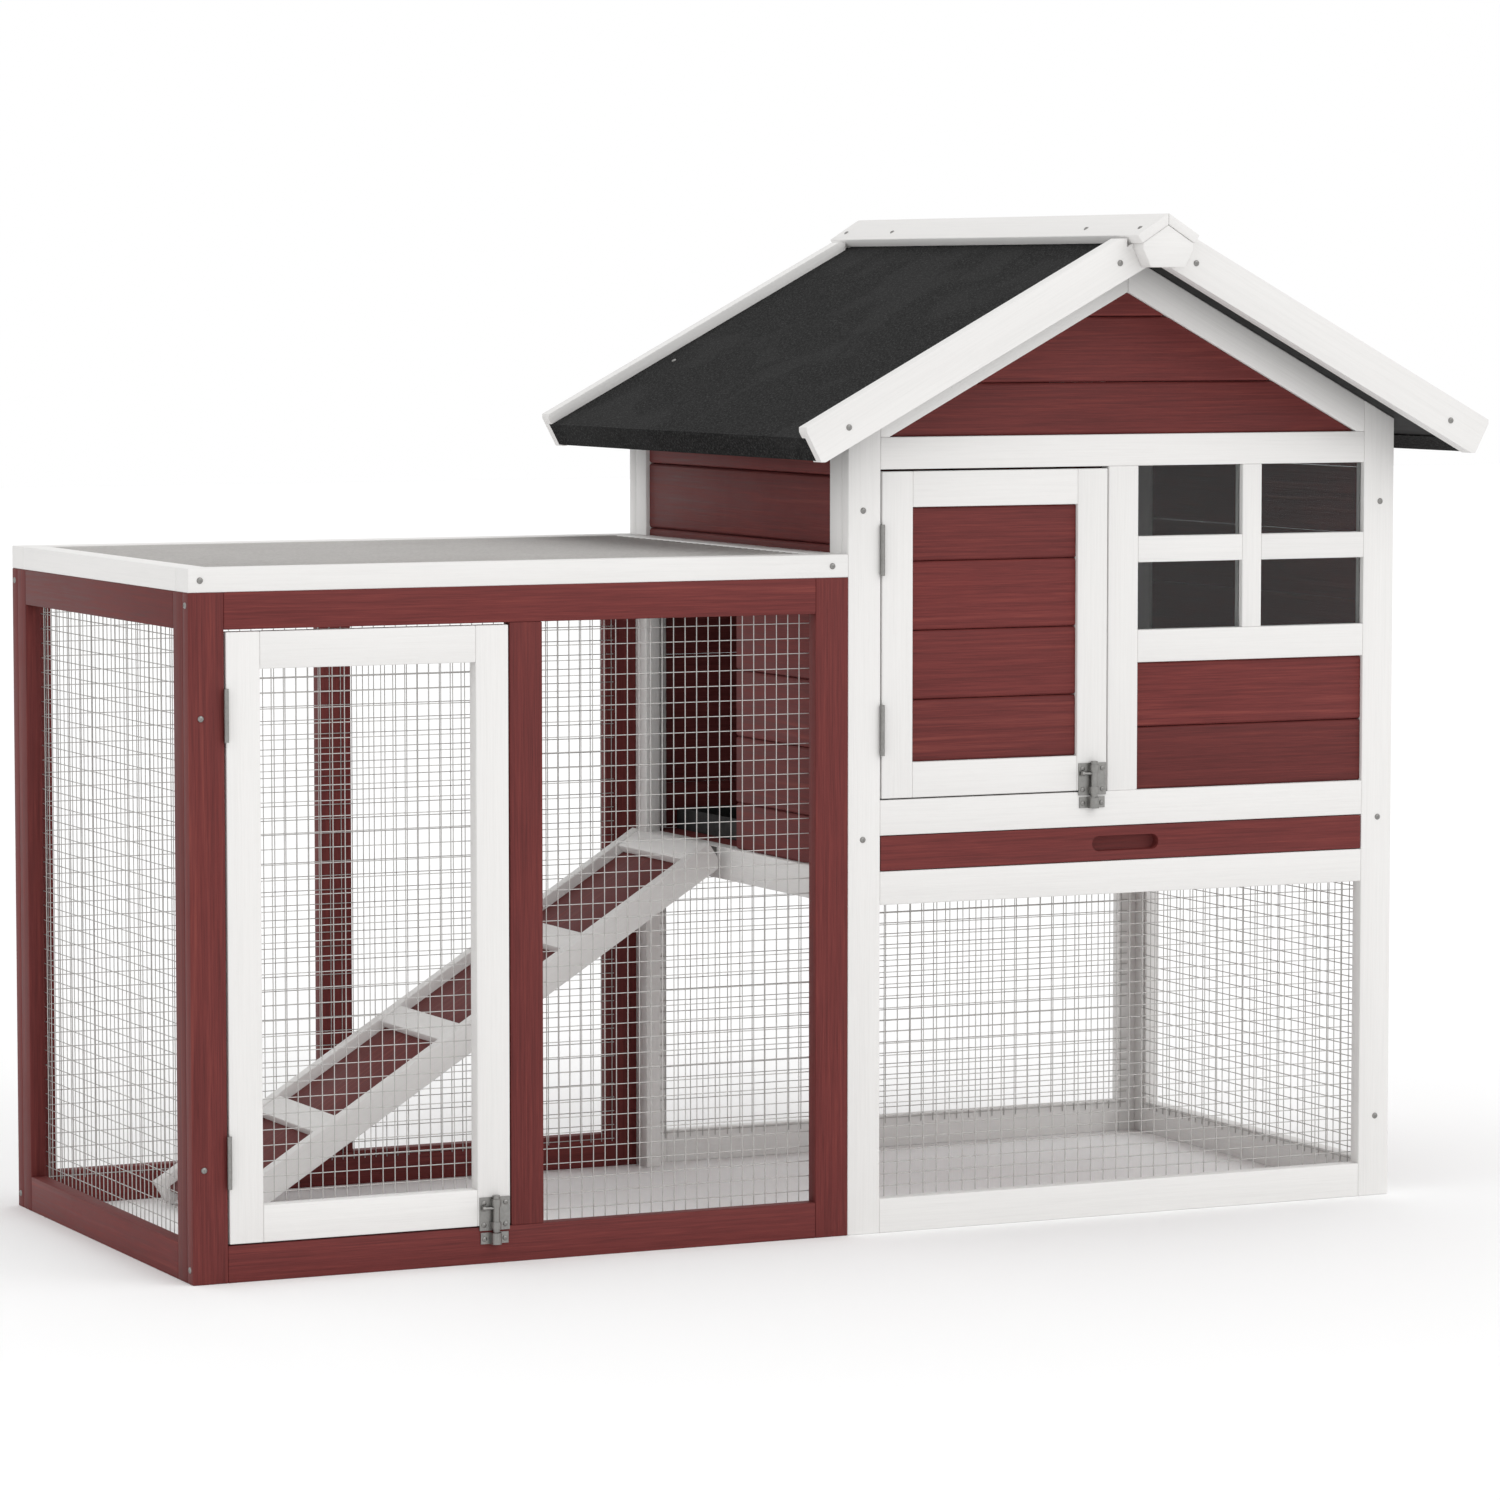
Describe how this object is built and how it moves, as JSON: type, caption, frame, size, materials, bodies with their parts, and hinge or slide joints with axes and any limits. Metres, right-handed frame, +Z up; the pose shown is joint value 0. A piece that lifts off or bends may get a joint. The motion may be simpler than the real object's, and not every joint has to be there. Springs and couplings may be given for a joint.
{
  "type": "rabbit hutch",
  "caption": "Two-storey wooden rabbit hutch with a gabled house, hinged doors, pull-out tray and ramp, joined to a wire-fronted run.",
  "frame": {"origin": "middle of the footprint's bounding box, on the ground", "axes": "+X along the front from the run to the house, +Y from the front to the back, +Z up"},
  "size_m": [1.3739, 0.69, 1.0022],
  "materials": {
    "white_painted_wood": "satin white paint over softwood",
    "red_stained_wood": "red-brown stain, grain showing",
    "black_painted_wood": "matt black",
    "plain_wood": "bare plywood and softwood",
    "roofing_felt": "mineral-surfaced bitumen felt",
    "galvanised_wire": "galvanised welded wire",
    "black_plastic": "fine-grained black plastic",
    "zinc_plated_steel": "zinc plated",
    "clear_sheet": "clear acrylic sheet"
  },
  "bodies": {
    "hutch": {"run_corner_stiles": "red_stained_wood", "run_long_rails": "red_stained_wood", "run_middle_posts": "red_stained_wood", "run_front_wire": "galvanised_wire", "run_end_stiles": "red_stained_wood", "run_end_rails": "red_stained_wood", "run_end_wire": "galvanised_wire", "run_back_wire": "galvanised_wire", "lid_long_boards": "white_painted_wood", "lid_short_boards": "white_painted_wood", "lid_wire": "galvanised_wire", "post_hinge_leaves": "zinc_plated_steel", "hinge_pins": "zinc_plated_steel", "bolt_keepers": "zinc_plated_steel", "house_corner_stiles": "white_painted_wood", "house_front_rails": "white_painted_wood", "house_back_rails": "white_painted_wood", "house_middle_stile": "white_painted_wood", "gable_rafters": "white_painted_wood", "gable_boards": "red_stained_wood", "front_panel_boards": "red_stained_wood", "house_front_wire": "galvanised_wire", "house_back_wire": "galvanised_wire", "window_upright": "white_painted_wood", "window_crossbars": "white_painted_wood", "window_panes": "clear_sheet", "house_side_stiles": "white_painted_wood", "house_side_rails": "white_painted_wood", "house_wall_boards": "red_stained_wood", "house_right_wire": "galvanised_wire", "floor_deck": "red_stained_wood", "floor_ledgers": "plain_wood", "roof_boards": "black_painted_wood", "roof_felt": "roofing_felt", "bargeboards": "white_painted_wood", "ridge_caps": "white_painted_wood", "ridge_plates": "white_painted_wood", "ramp_hangers": "zinc_plated_steel", "frame_screws": "zinc_plated_steel", "roof_screws": "zinc_plated_steel"},
    "run_door": {"run_door_stiles": "white_painted_wood", "run_door_rails": "white_painted_wood", "run_door_hinge_leaves": "zinc_plated_steel", "run_door_bolt_plate": "zinc_plated_steel", "run_door_plate_screws": "zinc_plated_steel", "run_door_wire": "galvanised_wire"},
    "run_door_bolt": {"run_door_bolt": "zinc_plated_steel"},
    "house_door": {"house_door_stiles": "white_painted_wood", "house_door_rails": "white_painted_wood", "house_door_hinge_leaves": "zinc_plated_steel", "house_door_bolt_plate": "zinc_plated_steel", "house_door_plate_screws": "zinc_plated_steel", "house_door_boards": "red_stained_wood"},
    "house_door_bolt": {"house_door_bolt": "zinc_plated_steel"},
    "tray": {"tray_front": "red_stained_wood", "tray_pan": "black_plastic"},
    "ramp": {"ramp_rails": "white_painted_wood", "ramp_deck": "red_stained_wood", "ramp_battens": "white_painted_wood", "ramp_hooks": "zinc_plated_steel"}
  },
  "joints": [
    {"name": "run_door_swing", "type": "hinge", "parent": "hutch", "child": "run_door", "pos_m": [-0.6502, -0.2659, 0.324], "axis": [0, 0, 1], "range_deg": [-170, 0]},
    {"name": "run_bolt_drop", "type": "slide", "parent": "run_door", "child": "run_door_bolt", "axis": [0, 0, 1], "range_m": [-0.011, 0]},
    {"name": "house_door_swing", "type": "hinge", "parent": "hutch", "child": "house_door", "pos_m": [0.0298, -0.2659, 0.59], "axis": [0, 0, 1], "range_deg": [-170, 0]},
    {"name": "house_bolt_drop", "type": "slide", "parent": "house_door", "child": "house_door_bolt", "axis": [0, 0, 1], "range_m": [-0.011, 0]},
    {"name": "tray_pull", "type": "slide", "parent": "hutch", "child": "tray", "axis": [0, -1, 0], "range_m": [0, 0.45]},
    {"name": "ramp_lift", "type": "hinge", "parent": "hutch", "child": "ramp", "pos_m": [-0.0116, 0.113, 0.352], "axis": [0, 1, 0], "range_deg": [0, 33]}
  ]
}
